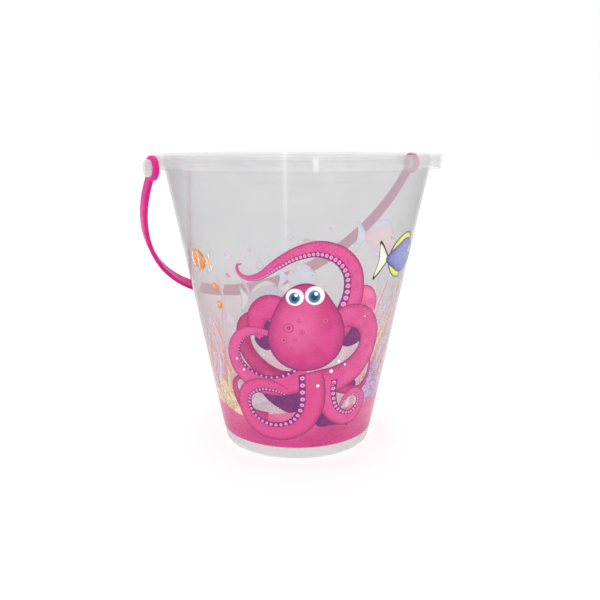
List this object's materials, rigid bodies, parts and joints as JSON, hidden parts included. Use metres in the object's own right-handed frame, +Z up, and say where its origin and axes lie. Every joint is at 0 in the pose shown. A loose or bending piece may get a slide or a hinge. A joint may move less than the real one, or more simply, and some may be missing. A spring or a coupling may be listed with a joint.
{
  "type": "sand bucket",
  "caption": "Clear plastic beach bucket with a tapered printed wall, a deep flanged rim and a coloured carry handle that swings on two headed pins.",
  "frame": {"origin": "centre of the ring under the bucket, at the height that it stands on", "axes": "+Z up; X is the handle's hinge line, through both pins; +Y is the side on which the handle hangs at rest"},
  "size_m": [0.2478, 0.22, 0.226],
  "materials": {
    "clear_plastic": "clear polypropylene, gloss, slightly milky",
    "printed_film": "clear in-mould film with printed sea creatures",
    "handle_plastic": "opaque magenta polypropylene, gloss"
  },
  "bodies": {
    "tub": {"tub": "clear_plastic", "printed_film": "printed_film"},
    "handle": {"handle": "handle_plastic"}
  },
  "joints": [
    {"name": "handle_swing", "type": "hinge", "parent": "tub", "child": "handle", "pos_m": [0, 0, 0.2174], "axis": [1, 0, 0], "range_deg": [0, 285.7]}
  ]
}
